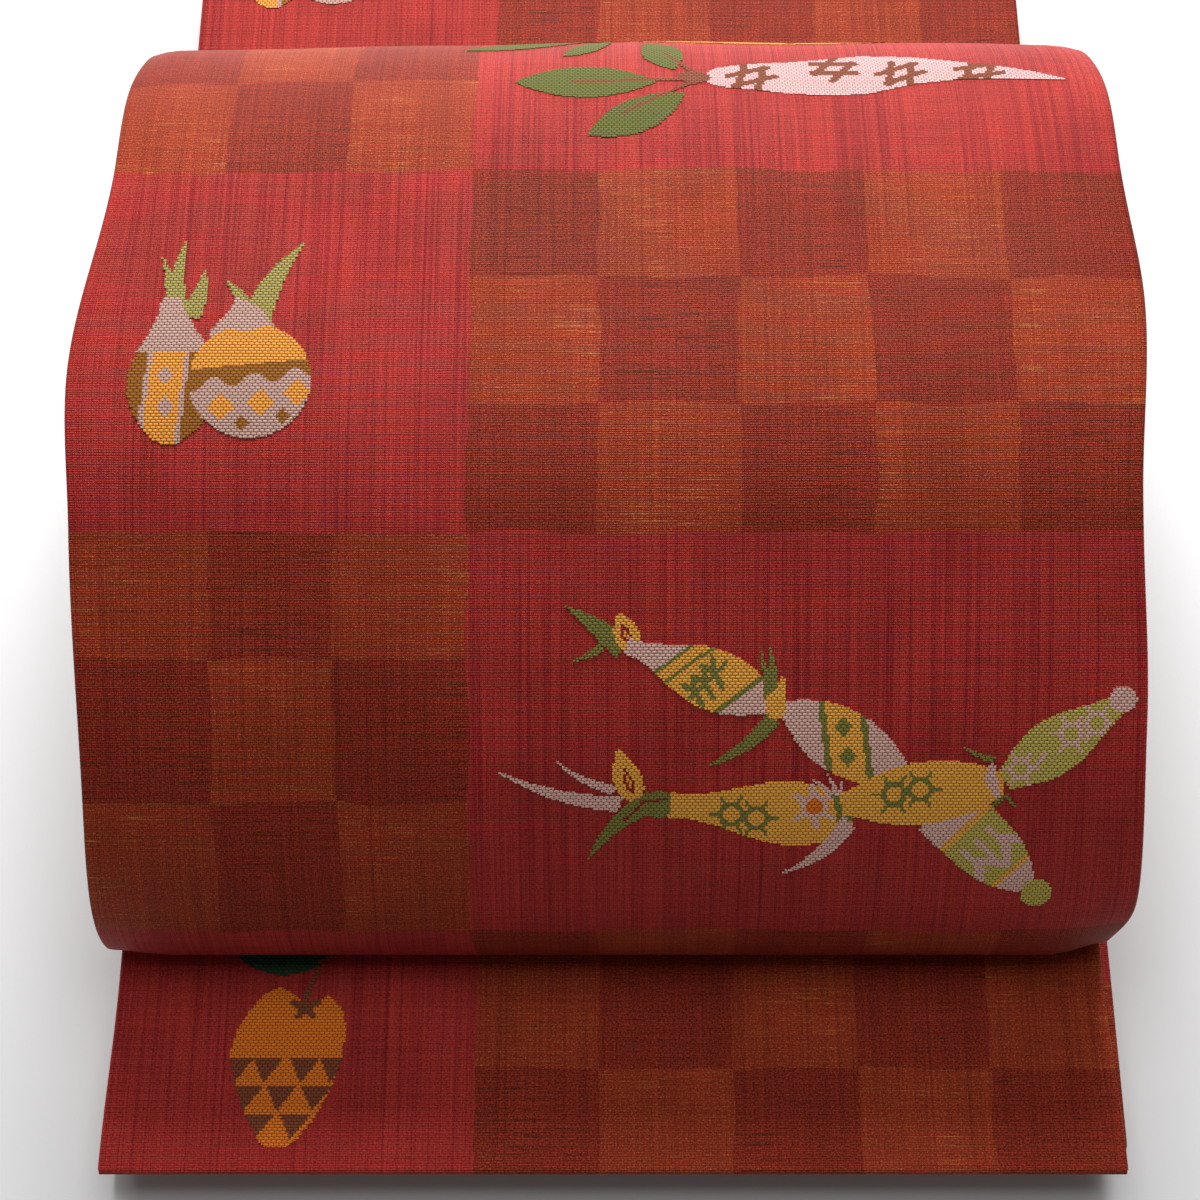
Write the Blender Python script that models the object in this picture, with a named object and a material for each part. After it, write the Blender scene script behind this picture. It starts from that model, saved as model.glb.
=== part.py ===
"""A lined brocade obi folded in the taiko form: a rounded drum over a wadding roll, a tare flap in front of it,
and the rest of the sash folded flat underneath. +Z is up, the tare points to -Y and the width runs along X."""

import math

import bmesh
import bpy
from mathutils import Vector

# The cloth, in metres
OBI_WIDTH = 0.307
FACE_T = 0.00055
CORE_T = 0.0007
LINING_T = 0.00055
GAP = 0.0003
TURNED_EDGE = 0.006
THREAD_D = 0.0005
HEM_DEPTH = 0.004

# The fold
FOLDED_LENGTH = 0.460
PASSES = 7
LAY_GAP = 0.0006
FRONT_SETBACK = 0.007
TARE_SHOWN = 0.0644
TARE_TUCKED = 0.128
HINGE_BEHIND_TIP = 0.060
STRIP_HINGE_INSET = 0.030

# The drum, measured on the middle of the cloth and above the tare
DRUM_LENGTH = 0.2855
DRUM_HEIGHT = 0.1086
DRUM_RETURN = 0.075
RETURN_RUN = 0.0147
BOTTOM_TUCK = 0.0148

# The wadding roll inside the drum
ROLL_LENGTH = 0.240
ROLL_WIDTH = 0.116
ROLL_AHEAD_OF_BACK = 0.081
ROLL_END_RADIUS = 0.030
GAUZE_T = 0.0004
GAUZE_OVERHANG = 0.008
ROLL_SIDES = 28

FOLD_STEPS = 8
REST_FOLD_STEPS = 4
CURVE_STEPS = 8

CLOTH_T = FACE_T + GAP + CORE_T + GAP + LINING_T
PITCH = CLOTH_T + LAY_GAP
FOLD_RADIUS = PITCH / 2
HALF_WIDTH = OBI_WIDTH / 2

TIP_Y = -FOLDED_LENGTH / 2
BACK_Y = FOLDED_LENGTH / 2 - FOLD_RADIUS - CLOTH_T / 2
FRONT_Y = TIP_Y + FRONT_SETBACK + FOLD_RADIUS + CLOTH_T / 2
TARE_Z = CLOTH_T / 2 + PASSES * PITCH
TARE_TOP_Z = TARE_Z + CLOTH_T / 2
RETURN_Z = TARE_Z + PITCH
DRUM_FRONT_Y = TIP_Y + TARE_SHOWN + CLOTH_T / 2
DRUM_BACK_Y = DRUM_FRONT_Y + DRUM_LENGTH
TARE_FOLD_Y = TIP_Y + TARE_SHOWN + TARE_TUCKED
DRUM_FOLD_Y = DRUM_BACK_Y - DRUM_RETURN - RETURN_RUN
TARE_HINGE_Y = TIP_Y + HINGE_BEHIND_TIP
STRIP_HINGE_Y = FOLDED_LENGTH / 2 - STRIP_HINGE_INSET

# The drum's outline from its bottom fold, over the crown, to the back of its top fold and underneath: share of the
# drum's length from its front, share of its height above the tare, and heading in degrees (0 is +Y, 90 is up).
DRUM_KNOTS = (
    (0.000, 0.118, 90),
    (0.095, 0.516, 37),
    (0.354, 0.877, 24),
    (0.706, 1.000, 0),
    (1.000, 0.542, -90),
)


def hermite(a, b, steps):
    """Points of a smooth span from knot a to knot b, without a itself. A knot is (y, z, heading in degrees)."""
    reach = math.dist(a[:2], b[:2])
    turn = math.radians(abs((b[2] - a[2] + 180) % 360 - 180))
    handle = reach * (1 + 0.18 * turn / (math.pi / 2))
    tangents = [(handle * math.cos(math.radians(k[2])), handle * math.sin(math.radians(k[2]))) for k in (a, b)]
    points = []
    for i in range(1, steps + 1):
        t = i / steps
        weights = (2 * t**3 - 3 * t**2 + 1, t**3 - 2 * t**2 + t, 3 * t**2 - 2 * t**3, t**3 - t**2)
        parts = zip(weights, (a[:2], tangents[0], b[:2], tangents[1]))
        y, z = (sum(values) for values in zip(*((w * p[0], w * p[1]) for w, p in parts)))
        points.append((y, z))
    return points


def arc(centre_y, centre_z, radius, start, end, steps):
    """Points of an arc, both ends included. Angles are in degrees, counter-clockwise from +Y to +Z."""
    angles = [math.radians(start + (end - start) * i / steps) for i in range(steps + 1)]
    return [(centre_y + radius * math.cos(a), centre_z + radius * math.sin(a)) for a in angles]


def with_normals(points):
    """Each point of a route with the unit vector to the patterned side, which lies left of the way it runs."""
    stations = []
    for i, here in enumerate(points):
        before = points[max(i - 1, 0)]
        after = points[min(i + 1, len(points) - 1)]
        ways = []
        for a, b in ((before, here), (here, after)):
            length = math.dist(a, b)
            if length > 0:
                ways.append(((b[0] - a[0]) / length, (b[1] - a[1]) / length))
        along = (sum(w[0] for w in ways), sum(w[1] for w in ways))
        size = math.hypot(*along)
        stations.append((here[0], here[1], -along[1] / size, along[0] / size))
    return stations


def tare_route():
    return [(TIP_Y, TARE_Z), (TARE_HINGE_Y - GAP / 2, TARE_Z)]


def drum_route():
    """From the tare's hinge, round the tuck, over the drum and along the strip behind it."""
    lift = RETURN_Z - TARE_TOP_Z
    route = [(TARE_HINGE_Y + GAP / 2, TARE_Z)]
    route += arc(TARE_FOLD_Y - FOLD_RADIUS, TARE_Z + FOLD_RADIUS, FOLD_RADIUS, -90, 90, FOLD_STEPS)
    knots = [(DRUM_FRONT_Y + BOTTOM_TUCK, TARE_TOP_Z + lift, 180)]
    for share_y, share_z, heading in DRUM_KNOTS:
        knots.append((DRUM_FRONT_Y + share_y * DRUM_LENGTH, TARE_TOP_Z + share_z * DRUM_HEIGHT, heading))
    knots.append((DRUM_BACK_Y - DRUM_RETURN, TARE_TOP_Z + lift, -180))
    route.append(knots[0][:2])
    for a, b in zip(knots, knots[1:]):
        route += hermite(a, b, CURVE_STEPS)
    route += arc(DRUM_FOLD_Y + FOLD_RADIUS, TARE_Z + FOLD_RADIUS, FOLD_RADIUS, 90, 270, FOLD_STEPS)
    route.append((STRIP_HINGE_Y - GAP / 2, TARE_Z))
    return route


def rest_route():
    """From the strip's hinge round the back fold, and to and fro underneath to the plain end."""
    route = [(STRIP_HINGE_Y + GAP / 2, TARE_Z)]
    z = TARE_Z
    for fold in range(PASSES):
        if fold % 2 == 0:
            route += arc(BACK_Y, z - FOLD_RADIUS, FOLD_RADIUS, 90, -90, REST_FOLD_STEPS)
        else:
            route += arc(FRONT_Y, z - FOLD_RADIUS, FOLD_RADIUS, 90, 270, REST_FOLD_STEPS)
        z -= PITCH
    route.append((BACK_Y if PASSES % 2 == 0 else FRONT_Y, z))
    return route


def shortened(route, start=0.0, end=0.0):
    """The route with its two straight end runs made shorter."""
    route = list(route)
    for index, other, cut in ((0, 1, start), (-1, -2, end)):
        a, b = Vector(route[index]), Vector(route[other])
        route[index] = tuple(a + (b - a).normalized() * cut)
    return route


def face_outline():
    """The patterned cloth in section: across the width, and turned round both edges to the back."""
    top, back = CLOTH_T / 2, -CLOTH_T / 2
    side, lip = HALF_WIDTH, HALF_WIDTH - TURNED_EDGE
    right = [(side, top), (side, back), (lip, back), (lip, back + FACE_T), (side - FACE_T, back + FACE_T)]
    right.append((side - FACE_T, top - FACE_T))
    return right + [(-x, d) for x, d in reversed(right)]


def core_outline():
    x = HALF_WIDTH - FACE_T - GAP
    top = CLOTH_T / 2 - FACE_T - GAP
    return [(x, top), (x, top - CORE_T), (-x, top - CORE_T), (-x, top)]


def lining_outline():
    x = HALF_WIDTH - TURNED_EDGE - GAP - THREAD_D - GAP
    back = -CLOTH_T / 2
    return [(x, back + LINING_T), (x, back), (-x, back), (-x, back + LINING_T)]


def thread_outline(side):
    x = side * (HALF_WIDTH - TURNED_EDGE - GAP - THREAD_D / 2)
    d = -CLOTH_T / 2 + THREAD_D / 2
    r = THREAD_D / 2
    return [(x + r, d), (x, d - r), (x - r, d), (x, d + r)]


def paint(name, colour, roughness):
    material = bpy.data.materials.new(name)
    material.use_nodes = True
    shader = material.node_tree.nodes["Principled BSDF"]
    shader.inputs["Base Color"].default_value = (*colour, 1)
    shader.inputs["Roughness"].default_value = roughness
    shader.inputs["Metallic"].default_value = 0.0
    return material


def add_object(name, mesh_builder, material, parent):
    mesh = bpy.data.meshes.new(name)
    bm = bmesh.new()
    mesh_builder(bm)
    bmesh.ops.recalc_face_normals(bm, faces=bm.faces)
    bm.to_mesh(mesh)
    bm.free()
    mesh.materials.append(material)
    obj = bpy.data.objects.new(name, mesh)
    bpy.context.scene.collection.objects.link(obj)
    obj.parent = parent
    obj.location = -parent.location
    return obj


def swept(outline, route):
    """Builds the solid that a section makes as it runs along a route in the YZ plane."""

    def build(bm):
        rings = []
        for y, z, normal_y, normal_z in with_normals(route):
            rings.append([bm.verts.new((x, y + d * normal_y, z + d * normal_z)) for x, d in outline])
        for a, b in zip(rings, rings[1:]):
            for i in range(len(outline)):
                j = (i + 1) % len(outline)
                bm.faces.new((a[i], a[j], b[j], b[i]))
        bm.faces.new(rings[0])
        bm.faces.new(list(reversed(rings[-1])))

    return build


def cross_thread(y, z):
    """A hem's thread, straight across the width."""
    x = HALF_WIDTH - TURNED_EDGE - GAP - THREAD_D
    r = THREAD_D / 2

    def build(bm):
        rings = []
        for end in (-x, x):
            section = [(r * math.cos(k * math.pi / 3), r * math.sin(k * math.pi / 3)) for k in range(6)]
            rings.append([bm.verts.new((end, y + a, z + b)) for a, b in section])
        for i in range(6):
            j = (i + 1) % 6
            bm.faces.new((rings[0][i], rings[0][j], rings[1][j], rings[1][i]))
        bm.faces.new(rings[0])
        bm.faces.new(list(reversed(rings[1])))

    return build


def oval_ring(bm, x, centre_y, centre_z, half_y, half_z):
    angles = [2 * math.pi * i / ROLL_SIDES for i in range(ROLL_SIDES)]
    return [bm.verts.new((x, centre_y + half_y * math.cos(a), centre_z + half_z * math.sin(a))) for a in angles]


def join_rings(bm, rings, closed):
    """Bands between rings that follow each other; closed joins the last ring to the first, else both ends get caps."""
    following = rings[1:] + rings[:1] if closed else rings[1:]
    for a, b in zip(rings, following):
        for i in range(ROLL_SIDES):
            j = (i + 1) % ROLL_SIDES
            bm.faces.new((a[i], a[j], b[j], b[i]))
    if not closed:
        bm.faces.new(rings[0])
        bm.faces.new(list(reversed(rings[-1])))


def roll_place():
    """The roll's centre and half sizes, with its gauze: it fills the drum's height at its own place."""
    floor = RETURN_Z + CLOTH_T / 2 + GAP
    centre_y = DRUM_BACK_Y - ROLL_AHEAD_OF_BACK
    crossing = []
    route = drum_route()
    for a, b in zip(route, route[1:]):
        if (a[0] - centre_y) * (b[0] - centre_y) <= 0 and a[0] != b[0]:
            crossing.append(a[1] + (b[1] - a[1]) * (centre_y - a[0]) / (b[0] - a[0]))
    ceiling = max(crossing) - CLOTH_T / 2 - GAP
    return centre_y, (floor + ceiling) / 2, ROLL_WIDTH / 2, (ceiling - floor) / 2


def wadding(bm):
    centre_y, centre_z, half_y, half_z = roll_place()
    inset = GAUZE_T + GAP
    rings = []
    steps = 4
    for side in (-1, 1):
        order = range(steps, -1, -1) if side < 0 else range(steps + 1)
        for i in order:
            a = math.radians(80) * i / steps
            shrink = ROLL_END_RADIUS * (1 - math.cos(a))
            x = side * (ROLL_LENGTH / 2 - ROLL_END_RADIUS * (1 - math.sin(a)))
            rings.append(oval_ring(bm, x, centre_y, centre_z, half_y - inset - shrink, half_z - inset - shrink))
    join_rings(bm, rings, closed=False)


def gauze(bm):
    centre_y, centre_z, half_y, half_z = roll_place()
    end = ROLL_LENGTH / 2 + GAUZE_OVERHANG
    rings = []
    for x, inset in ((-end, 0), (end, 0), (end, GAUZE_T), (-end, GAUZE_T)):
        rings.append(oval_ring(bm, x, centre_y, centre_z, half_y - inset, half_z - inset))
    join_rings(bm, rings, closed=True)


def hinge_empty(name, y, z):
    empty = bpy.data.objects.new(name, None)
    empty.location = (0, y, z)
    bpy.context.scene.collection.objects.link(empty)
    return empty


for leftover in list(bpy.data.objects):
    bpy.data.objects.remove(leftover, do_unlink=True)

BROCADE = paint("brocade", (0.42, 0.055, 0.05), 0.62)
CORE = paint("interlining", (0.78, 0.75, 0.68), 0.9)
LINING = paint("lining", (0.30, 0.03, 0.035), 0.6)
THREAD = paint("seam_thread", (0.50, 0.05, 0.05), 0.5)
GAUZE = paint("gauze", (0.92, 0.90, 0.86), 0.9)
WADDING = paint("wadding", (0.94, 0.93, 0.90), 0.95)

rest = hinge_empty("folded_rest", 0, 0)
drum = hinge_empty("drum", STRIP_HINGE_Y, TARE_TOP_Z)
tare = hinge_empty("tare", TARE_HINGE_Y, TARE_TOP_Z)

hem = HEM_DEPTH
for label, parent, route, hem_start, hem_end in (
    ("tare", tare, tare_route(), hem, 0),
    ("drum", drum, drum_route(), 0, 0),
    ("rest", rest, rest_route(), 0, hem),
):
    inner = shortened(route, hem_start, hem_end)
    add_object(label + "_face_cloth", swept(face_outline(), route), BROCADE, parent)
    add_object(label + "_interlining", swept(core_outline(), inner), CORE, parent)
    add_object(label + "_lining", swept(lining_outline(), inner), LINING, parent)
    add_object(label + "_left_seam", swept(thread_outline(-1), inner), THREAD, parent)
    add_object(label + "_right_seam", swept(thread_outline(1), inner), THREAD, parent)

hem_z = -CLOTH_T / 2 + THREAD_D / 2
hem_y = HEM_DEPTH - GAP - THREAD_D / 2
add_object("tare_end_hem", cross_thread(TIP_Y + hem_y, TARE_Z + hem_z), THREAD, tare)
end_y, end_z = rest_route()[-1]
way = 1 if PASSES % 2 == 0 else -1
add_object("plain_end_hem", cross_thread(end_y - way * hem_y, end_z + way * hem_z), THREAD, rest)

add_object("wadding_roll", wadding, WADDING, drum)
add_object("roll_gauze", gauze, GAUZE, drum)
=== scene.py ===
"""A lined brocade obi in the taiko fold: a rounded drum over a wadding roll, a tare flap in front, and the rest
of the sash folded to and fro beneath. +Z is up, the tare points to -Y and the width runs along X."""
import math

import bpy
import numpy as np
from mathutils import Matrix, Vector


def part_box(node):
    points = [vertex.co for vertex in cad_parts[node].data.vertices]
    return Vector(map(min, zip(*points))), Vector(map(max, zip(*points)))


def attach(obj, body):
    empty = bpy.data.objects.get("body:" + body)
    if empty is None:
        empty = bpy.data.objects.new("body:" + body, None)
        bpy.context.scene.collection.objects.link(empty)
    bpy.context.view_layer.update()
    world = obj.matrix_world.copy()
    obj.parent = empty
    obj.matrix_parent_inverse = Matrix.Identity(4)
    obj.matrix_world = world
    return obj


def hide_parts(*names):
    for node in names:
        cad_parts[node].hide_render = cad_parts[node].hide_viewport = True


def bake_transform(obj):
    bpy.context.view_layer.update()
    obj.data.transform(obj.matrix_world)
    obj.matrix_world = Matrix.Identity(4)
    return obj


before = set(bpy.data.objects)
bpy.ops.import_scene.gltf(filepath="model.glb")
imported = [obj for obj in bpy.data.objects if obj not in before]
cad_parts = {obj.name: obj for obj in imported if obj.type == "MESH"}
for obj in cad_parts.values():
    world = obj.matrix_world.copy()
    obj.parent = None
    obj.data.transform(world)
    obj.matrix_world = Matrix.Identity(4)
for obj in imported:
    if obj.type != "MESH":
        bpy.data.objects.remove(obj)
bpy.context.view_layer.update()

# The patterned face cloth: figured silk, 307 mm wide, turned round both long edges to the back and under at its
# ends. One length runs from the tare's tip through the tuck, over the drum and to and fro beneath. It is cut in
# four where that doesn't show: deep in the tuck, under the drum and at the back fold.
tare_low, tare_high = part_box("tare_face_cloth")
rest_low, rest_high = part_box("rest_face_cloth")
HALF_WIDTH = tare_high.x
CLOTH_T = tare_high.z - tare_low.z
FACE_T = 0.00055
TURNED_EDGE = 0.006
HEM_DEPTH = 0.004
GAP = 0.0003
PASSES = 7
PITCH = (tare_low.z - rest_low.z) / PASSES
FOLD_RADIUS = PITCH / 2
TARE_Z = (tare_low.z + tare_high.z) / 2
TARE_TOP_Z = tare_high.z
RETURN_Z = TARE_Z + PITCH
TIP_Y = tare_low.y
BACK_Y = rest_high.y - FOLD_RADIUS - CLOTH_T / 2
FRONT_Y = rest_low.y + FOLD_RADIUS + CLOTH_T / 2
TARE_FOLD_Y = TIP_Y + 0.1924
DRUM_FRONT_Y = TIP_Y + 0.0656
DRUM_LENGTH = 0.2855
DRUM_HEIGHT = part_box("drum_face_cloth")[1].z - CLOTH_T / 2 - TARE_TOP_Z
DRUM_BACK_Y = DRUM_FRONT_Y + DRUM_LENGTH
BOTTOM_TUCK = 0.0148
DRUM_RETURN = 0.075
DRUM_FOLD_Y = DRUM_BACK_Y - DRUM_RETURN - 0.0147
TARE_SPLIT_Y = -0.100
STRIP_SPLIT_Y = 0.060

# Shares of the drum's length from its front and of its height, and heading in degrees: 0 is +Y and 90 is up.
DRUM_KNOTS = ((0, 0.118, 90), (0.095, 0.516, 37), (0.354, 0.877, 24), (0.706, 1, 0), (1, 0.542, -90))

# How far each fold of the passes beneath lies off the line of the top one, in metres.
BACK_SLIPS = (0.0, -0.0016, 0.0009, -0.0022)
FRONT_SLIPS = (0.0, -0.0018, 0.0012)


def hermite(a, b):
    """Points of a smooth span from knot a to knot b, without a itself, about 3 mm apart."""
    reach = math.dist(a[:2], b[:2])
    steps = math.ceil(reach / 0.003)
    turn = math.radians(abs((b[2] - a[2] + 180) % 360 - 180))
    handle = reach * (1 + 0.18 * turn / (math.pi / 2))
    ways = [(handle * math.cos(math.radians(k[2])), handle * math.sin(math.radians(k[2]))) for k in (a, b)]
    points = []
    for i in range(1, steps + 1):
        t = i / steps
        weights = (2 * t**3 - 3 * t**2 + 1, t**3 - 2 * t**2 + t, 3 * t**2 - 2 * t**3, t**3 - t**2)
        four = (a[:2], ways[0], b[:2], ways[1])
        points.append(tuple(sum(w * p[axis] for w, p in zip(weights, four)) for axis in (0, 1)))
    return points


def fold(centre_y, centre_z, start, end):
    """Points of a fold's half circle. Angles are in degrees, counter-clockwise from +Y to +Z."""
    angles = [math.radians(start + (end - start) * i / 12) for i in range(13)]
    return [(centre_y + FOLD_RADIUS * math.cos(a), centre_z + FOLD_RADIUS * math.sin(a)) for a in angles]


def divided(route, step):
    """The route with points added so that none is further than step from the next."""
    made = [route[0]]
    for a, b in zip(route, route[1:]):
        count = max(1, math.ceil(math.dist(a, b) / step))
        way = (b[0] - a[0], b[1] - a[1])
        made += [(a[0] + way[0] * i / count, a[1] + way[1] * i / count) for i in range(1, count + 1)]
    return made


tare_line = divided([(TIP_Y, TARE_Z), (TARE_SPLIT_Y, TARE_Z)], 0.003)
drum_line = [(TARE_SPLIT_Y, TARE_Z)]
drum_line += fold(TARE_FOLD_Y - FOLD_RADIUS, TARE_Z + FOLD_RADIUS, -90, 90)
knots = [(DRUM_FRONT_Y + BOTTOM_TUCK, RETURN_Z, 180)]
knots += [(DRUM_FRONT_Y + y * DRUM_LENGTH, TARE_TOP_Z + z * DRUM_HEIGHT, turn) for y, z, turn in DRUM_KNOTS]
knots.append((DRUM_BACK_Y - DRUM_RETURN, RETURN_Z, -180))
drum_line.append(knots[0][:2])
for knot, following in zip(knots, knots[1:]):
    drum_line += hermite(knot, following)
drum_line += fold(DRUM_FOLD_Y + FOLD_RADIUS, TARE_Z + FOLD_RADIUS, 90, 270)
drum_line.append((STRIP_SPLIT_Y, TARE_Z))
drum_line = divided(drum_line, 0.006)
back_fold = fold(BACK_Y, TARE_Z - FOLD_RADIUS, 90, -90)
strip_line = divided([(STRIP_SPLIT_Y, TARE_Z)] + back_fold[:7], 0.003)
rest_line = back_fold[6:]
fold_z = TARE_Z - FOLD_RADIUS
for turn in range(1, PASSES):
    fold_z -= PITCH
    if turn % 2 == 1:
        rest_line += fold(FRONT_Y - FRONT_SLIPS[turn // 2], fold_z, 90, 270)
    else:
        rest_line += fold(BACK_Y + BACK_SLIPS[turn // 2], fold_z, 90, -90)
rest_line.append((FRONT_Y, fold_z - FOLD_RADIUS))
rest_line = divided(rest_line, 0.014)

line = np.array(tare_line + drum_line[1:] + strip_line[1:] + rest_line[1:])
LINE_S = np.concatenate(([0.0], np.cumsum(np.hypot(*np.diff(line, axis=0).T))))
steps = np.diff(line, axis=0) / np.diff(LINE_S)[:, None]
along = np.concatenate((steps[:1], steps[:-1] + steps[1:], steps[-1:]))
along /= np.hypot(*along.T)[:, None]
cuts = np.cumsum([0, len(tare_line) - 1, len(drum_line) - 1, len(strip_line) - 1, len(rest_line) - 1])
STATIONS = {name: LINE_S[a : b + 1] for name, a, b in zip(("tare", "drum", "strip", "rest"), cuts, cuts[1:])}
pass_length = BACK_Y - FRONT_Y + math.pi * FOLD_RADIUS
pass_ends = [STATIONS["strip"][-1] + i * pass_length for i in range(PASSES + 1)]

# Where each long edge runs outside its straight line, and how the passes beneath lie askew, in metres.
LEFT_EDGE = (
    (0, 0.0007), (0.06, -0.0009), (0.3, 0), (0.33, 0.0009), (0.39, -0.0003), (0.465, 0.0017), (0.508, 0.0037),
    (0.583, -0.0042), (0.612, -0.004), (0.645, -0.0052), (0.7, -0.0015), (0.78, 0),
)
RIGHT_EDGE = (
    (0, 0.0015), (0.06, -0.0008), (0.3, 0), (0.327, -0.0012), (0.352, 0.0015), (0.411, 0.0002),
    (0.475, -0.0019), (0.537, 0.0021), (0.583, -0.0005), (0.61, -0.0002), (0.648, -0.0014), (0.78, 0),
)
ASKEW = (0.0, 0.0026, -0.0012, 0.0012, 0.0020, -0.0014, 0.0006, -0.0010)


def eased(s, knots_here):
    """A smooth value along the sash through (place, value) pairs, level at each of them."""
    places, values = np.array(knots_here).T
    share = np.interp(s, places, np.arange(len(places)))
    low_knot = np.clip(np.floor(share).astype(int), 0, len(places) - 2)
    t = share - low_knot
    return values[low_knot] + (values[low_knot + 1] - values[low_knot]) * t * t * (3 - 2 * t)


def rise(value, start, end):
    """0 up to start, 1 from end on, and smooth between."""
    t = np.clip((value - start) / (end - start), 0, 1)
    return t * t * (3 - 2 * t)


FULL_TURN = 6.283


def place(x, s, depth):
    """Points of the sash in metres: x across it, s along it from the tare's tip, depth above its middle."""
    x, s, depth = np.broadcast_arrays(np.asarray(x, float), np.asarray(s, float), np.asarray(depth, float))
    y, z, way_y, way_z = (np.interp(s, LINE_S, values) for values in (*line.T, *along.T))
    size = np.abs(x)
    # Low waves over the drum, and corners that droop at its crown, at its upper fold and at its foot.
    over_drum = rise(s, 0.335, 0.40) * (1 - rise(s, 0.70, 0.765))
    crown = rise(s, 0.47, 0.58) * (1 - rise(s, 0.70, 0.755))
    top_fold = rise(s, 0.600, 0.642) * (1 - rise(s, 0.650, 0.72))
    foot = rise(s, 0.306, 0.326) * (1 - rise(s, 0.330, 0.36))
    foot_droop = np.where(x > 0, 0.0040, 0.0016)
    wave = 0.00050 * np.sin(FULL_TURN * (x / 0.230 + 0.13) + 1.3 * np.sin(FULL_TURN * s / 0.190))
    wave = (wave + 0.00022 * np.sin(FULL_TURN * (x / 0.087 + s / 0.210))) * over_drum
    wave = wave - 0.0007 * crown * rise(size, 0.112, HALF_WIDTH)
    wave = wave - 0.0021 * top_fold * rise(size, 0.143, HALF_WIDTH + 0.003)
    wave = wave - foot_droop * foot * rise(size, 0.134, HALF_WIDTH)
    wave = wave + 0.0009 * foot
    depth = depth + wave
    # The long edges wander, the passes beneath lie askew, and the drum's upper fold slants a little.
    edge = np.where(x < 0, eased(s, LEFT_EDGE), eased(s, RIGHT_EDGE)) * rise(size, 0.132, HALF_WIDTH)
    askew = np.interp(s, pass_ends, ASKEW) * (s > pass_ends[0])
    slant = 0.0014 * (x / HALF_WIDTH) * rise(s, 0.56, 0.62) * (1 - rise(s, 0.68, 0.73))
    across = x + np.sign(x) * edge + askew
    return np.stack((across, y - way_z * depth + slant, z + way_y * depth), axis=-1)


# Columns and rows of the woven checks: the columns' edges across the sash, and rows 39 mm apart along it, the
# ones over the drum a little uneven. Row 0 is the first on the drum.
COLUMN_EDGES = np.array((-0.1535, -0.1155, -0.0795, -0.0415, -0.004, 0.037, 0.0755, 0.116, 0.1535))
ROW_PITCH = 0.039
ROW_PLACES = (-0.008, 0.031, 0.3432, 0.3866, 0.4285, 0.4648, 0.5017, 0.5418, 0.5780, 0.6164, 0.9284, 4.3994)
ROW_NUMBERS = (-9, -8, 0, 1, 2, 3, 4, 5, 6, 7, 15, 104)
COLUMNS = np.unique(np.concatenate([np.linspace(a, b, 7) for a, b in zip(COLUMN_EDGES, COLUMN_EDGES[1:])]))
EDGE_RADIUS = CLOTH_T / 2


def face_section():
    """The face cloth in section, as (x, depth, place across the cloth): its outside, then its inside."""
    side = HALF_WIDTH - EDGE_RADIUS
    rows = []
    for radius in (EDGE_RADIUS, EDGE_RADIUS - FACE_T):
        bend = [(math.radians(a), side + radius * math.cos(math.radians(a))) for a in range(-90, 91, 30)]
        right = [(HALF_WIDTH - TURNED_EDGE, -radius, HALF_WIDTH + TURNED_EDGE)]
        right += [(x, radius * math.sin(a), side + EDGE_RADIUS * (math.pi / 2 - a)) for a, x in bend]
        middle = [(x, radius, x) for x in COLUMNS[::-1] if abs(x) < side - 0.0005]
        rows.append(right + middle + [(-x, depth, -u) for x, depth, u in right[::-1]])
    return np.array(rows[0] + rows[1][::-1])


def flat_section(half, top, bottom):
    """A flat layer in section, in the same form."""
    xs = np.linspace(half, -half, 33)
    return np.array([(x, top, x) for x in xs] + [(x, bottom, x) for x in xs[::-1]])


def wrapped(index):
    """Quads between closed rings of points that follow each other, each ring a row of index."""
    beside = np.roll(index, -1, axis=1)
    return np.stack((index[:-1], beside[:-1], beside[1:], index[1:]), axis=-1).reshape(-1, 4).tolist()


def finished_object(name, points, faces, flats, *materials):
    """An object facing out, smooth but for sharp edges, whose points know their place on the flat cloth."""
    mesh = bpy.data.meshes.new(name)
    mesh.from_pydata(points.tolist(), [], faces)
    for material in materials:
        mesh.materials.append(material)
    if sum(face.center.dot(face.normal) * face.area for face in mesh.polygons) < 0:
        mesh.flip_normals()
    across = np.interp(flats[:, 0], COLUMN_EDGES, np.arange(9)).clip(0.001, 7.999)
    rows = np.interp(flats[:, 1], ROW_PLACES, ROW_NUMBERS)
    for attribute, pair in (("flat", flats * 1000), ("checks", np.stack((across, rows), axis=-1))):
        values = np.concatenate((pair, np.zeros((len(pair), 1))), axis=1).astype(np.float32)
        mesh.attributes.new(attribute, "FLOAT_VECTOR", "POINT").data.foreach_set("vector", values.ravel())
    mesh.shade_smooth()
    mesh.set_sharp_from_angle(angle=math.radians(50))
    obj = bpy.data.objects.new(name, mesh)
    bpy.context.scene.collection.objects.link(obj)
    return obj


def cloth_object(name, section, stations, hems, material):
    """A closed sheet: a section run along the sash, with (section, places across) pairs for turned ends."""
    points, flats, faces = [], [], []
    start = 0
    for outline, places, is_hem in [(section, stations, False), *[(*hem, True) for hem in hems]]:
        if is_hem:
            s, depth = outline.T
            x = u = places[:, None]
        else:
            x, depth, u = outline.T
            s = places[:, None]
        x, s, depth, u = np.broadcast_arrays(x, s, depth, u)
        points.append(place(x, s, depth).reshape(-1, 3))
        flats.append(np.stack((u, s), axis=-1).reshape(-1, 2))
        index = start + np.arange(x.size).reshape(x.shape)
        start += x.size
        faces += wrapped(index)
        last = x.shape[1] - 1
        for i in range(last // 2):
            across = [i, i + 1, last - i - 1, last - i]
            faces += [index[0][across[::-1]].tolist(), index[-1][across].tolist()]
    return finished_object(name, np.concatenate(points), faces, np.concatenate(flats), material)


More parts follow.
